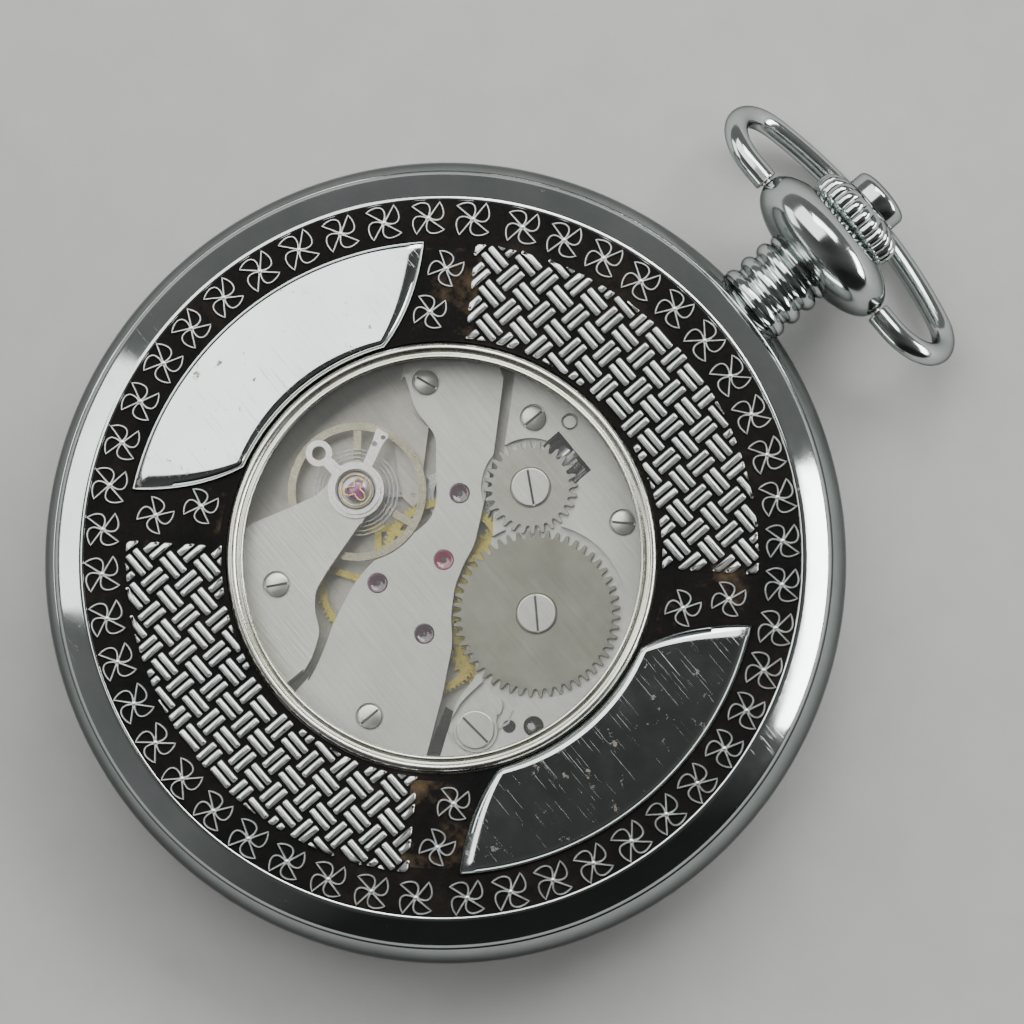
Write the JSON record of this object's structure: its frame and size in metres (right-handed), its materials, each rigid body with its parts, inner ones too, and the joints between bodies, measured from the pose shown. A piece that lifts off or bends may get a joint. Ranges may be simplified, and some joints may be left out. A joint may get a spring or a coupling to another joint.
{
  "type": "pocket watch",
  "caption": "Round hinged-lid pocket watch lying on its lid: decorated display back with a window on the winding movement, ribbed pendant, fluted crown with push button and swivelling bow.",
  "frame": {"origin": "centre of the flat outer face of the closed lid", "axes": "+Z from the lid towards the rear cover, +Y towards the pendant and crown, +X to the right when the rear cover is faced with the pendant up"},
  "size_m": [0.047, 0.0573, 0.0125],
  "materials": {
    "case_chrome": "polished, lightly worn",
    "cover_black": "oxidised relief with polished panels",
    "crystal": "clear",
    "steel": "fine brushed",
    "polished_steel": "polished",
    "nickel": "brushed nickel plate",
    "brass": "gilt, brushed",
    "blued_steel": "blued",
    "ruby": "polished synthetic ruby",
    "gold_spring": "gilt",
    "dial_white": "satin lacquer",
    "ring_grey": "satin"
  },
  "bodies": {
    "case": {"case_middle": "case_chrome", "rear_cover": "cover_black", "window_ring": "case_chrome", "rear_crystal": "crystal", "front_bezel": "case_chrome", "front_crystal": "crystal", "hinge_pin": "steel", "lift_spring": "steel", "pendant": "case_chrome", "bow_pins": "steel", "dial": "dial_white", "main_plate": "nickel", "movement_ring": "ring_grey", "barrel_bridge": "nickel", "train_bridge": "nickel", "balance_cock": "nickel", "pallet_cock": "nickel", "mainspring": "steel", "crown_wheel_screw": "polished_steel", "click_screw": "polished_steel", "click_spring": "steel", "hairspring": "blued_steel", "stud_carrier": "polished_steel", "shock_spring": "gold_spring", "cap_jewel": "ruby", "train_jewels": "ruby", "bridge_screws": "polished_steel"},
    "lid": {"front_cover": "case_chrome"},
    "bow_ring": {"bow": "case_chrome"},
    "latch": {"lid_catch": "steel"},
    "winding_stem": {"stem": "steel", "winding_pinion": "steel"},
    "crown_knob": {"crown": "case_chrome", "crown_tube": "steel"},
    "button": {"push_button": "case_chrome", "button_rod": "steel"},
    "crown_wheel_unit": {"crown_wheel": "polished_steel"},
    "ratchet_unit": {"ratchet_wheel": "polished_steel", "ratchet_screw": "polished_steel", "barrel_arbor": "steel"},
    "click_unit": {"click": "steel"},
    "barrel_unit": {"barrel": "brass"},
    "second_unit": {"second_wheel": "brass"},
    "third_unit": {"third_wheel": "brass"},
    "fourth_unit": {"fourth_wheel": "brass", "seconds_hand": "blued_steel"},
    "escape_unit": {"escape_wheel": "steel"},
    "pallet_unit": {"pallet_fork": "steel"},
    "balance_unit": {"balance_wheel": "brass"},
    "minute_unit": {"cannon_pinion": "steel", "minute_hand": "blued_steel"},
    "minute_wheel_unit": {"minute_wheel": "brass"},
    "hour_unit": {"hour_wheel": "brass", "hour_hand": "blued_steel"},
    "regulator_unit": {"regulator": "polished_steel"}
  },
  "joints": [
    {"name": "lid_hinge", "type": "hinge", "parent": "case", "child": "lid", "pos_m": [0, -0.0226, 0.00255], "axis": [-1, 0, 0], "range_deg": [0, 95]},
    {"name": "bow_swivel", "type": "hinge", "parent": "case", "child": "bow_ring", "pos_m": [0, 0.0288, 0.0068], "axis": [1, 0, 0], "range_deg": [-76, 193]},
    {"name": "crown_turn", "type": "hinge", "parent": "case", "child": "winding_stem", "pos_m": [0, 0.02, 0.0068], "axis": [0, 1, 0], "continuous": true},
    {"name": "crown_pull", "type": "slide", "parent": "winding_stem", "child": "crown_knob", "axis": [0, 1, 0], "range_m": [0, 0.0009]},
    {"name": "button_press", "type": "slide", "parent": "crown_knob", "child": "button", "axis": [0, -1, 0], "range_m": [0, 0.0007], "stiffness_N_per_m": 1500, "springref_m": -0.0003},
    {"name": "catch_slide", "type": "slide", "parent": "case", "child": "latch", "axis": [0, -1, 0], "range_m": [0, 0.0007]},
    {"name": "crown_wheel_turn", "type": "hinge", "parent": "case", "child": "crown_wheel_unit", "pos_m": [0, 0.0066, 0.0086], "axis": [0, 0, 1], "continuous": true},
    {"name": "ratchet_turn", "type": "hinge", "parent": "case", "child": "ratchet_unit", "pos_m": [0.00587, 0.00214, 0.0086], "axis": [0, 0, 1], "continuous": true},
    {"name": "click_pivot", "type": "hinge", "parent": "case", "child": "click_unit", "pos_m": [0.00879, -0.00494, 0.0087], "axis": [0, 0, 1], "range_deg": [-4, 4]},
    {"name": "fourth_turn", "type": "hinge", "parent": "case", "child": "fourth_unit", "pos_m": [0, 0, 0.0079], "axis": [0, 0, 1], "continuous": true},
    {"name": "third_turn", "type": "hinge", "parent": "case", "child": "third_unit", "pos_m": [-0.00144, -0.00382, 0.0072], "axis": [0, 0, 1], "continuous": true},
    {"name": "second_turn", "type": "hinge", "parent": "case", "child": "second_unit", "pos_m": [0.00258, -0.00363, 0.0076], "axis": [0, 0, 1], "continuous": true},
    {"name": "barrel_turn", "type": "hinge", "parent": "case", "child": "barrel_unit", "pos_m": [0.00587, 0.00214, 0.007], "axis": [0, 0, 1], "continuous": true},
    {"name": "escape_turn", "type": "hinge", "parent": "case", "child": "escape_unit", "pos_m": [-0.00239, 0.0032, 0.0073], "axis": [0, 0, 1], "continuous": true},
    {"name": "minute_turn", "type": "hinge", "parent": "case", "child": "minute_unit", "pos_m": [0, 0, 0.0045], "axis": [0, 0, 1], "continuous": true},
    {"name": "minute_wheel_turn", "type": "hinge", "parent": "case", "child": "minute_wheel_unit", "pos_m": [0, -0.0024, 0.0048], "axis": [0, 0, 1], "continuous": true},
    {"name": "hour_turn", "type": "hinge", "parent": "case", "child": "hour_unit", "pos_m": [0, 0, 0.0044], "axis": [0, 0, 1], "continuous": true},
    {"name": "pallet_rock", "type": "hinge", "parent": "case", "child": "pallet_unit", "pos_m": [-0.00414, 0.00106, 0.0073], "axis": [0, 0, 1], "range_deg": [-5, 5]},
    {"name": "balance_swing", "type": "hinge", "parent": "case", "child": "balance_unit", "pos_m": [-0.00634, -0.00132, 0.0084], "axis": [0, 0, 1], "range_deg": [-270, 270], "stiffness_Nm_per_rad": 0.00000024},
    {"name": "regulator_index", "type": "hinge", "parent": "case", "child": "regulator_unit", "pos_m": [-0.00634, -0.00132, 0.01], "axis": [0, 0, 1], "range_deg": [-20, 20]}
  ],
  "couplings": [
    {"joint": "catch_slide", "follows": "button_press", "ratio": 1},
    {"joint": "crown_wheel_turn", "follows": "crown_turn", "ratio": -0.5},
    {"joint": "ratchet_turn", "follows": "crown_turn", "ratio": 0.27451},
    {"joint": "third_turn", "follows": "fourth_turn", "ratio": -0.13333},
    {"joint": "second_turn", "follows": "fourth_turn", "ratio": 0.016667},
    {"joint": "barrel_turn", "follows": "fourth_turn", "ratio": -0.0025641},
    {"joint": "escape_turn", "follows": "fourth_turn", "ratio": -12},
    {"joint": "minute_turn", "follows": "fourth_turn", "ratio": 0.016667},
    {"joint": "minute_wheel_turn", "follows": "fourth_turn", "ratio": -0.0055556},
    {"joint": "hour_turn", "follows": "fourth_turn", "ratio": 0.0013889}
  ]
}
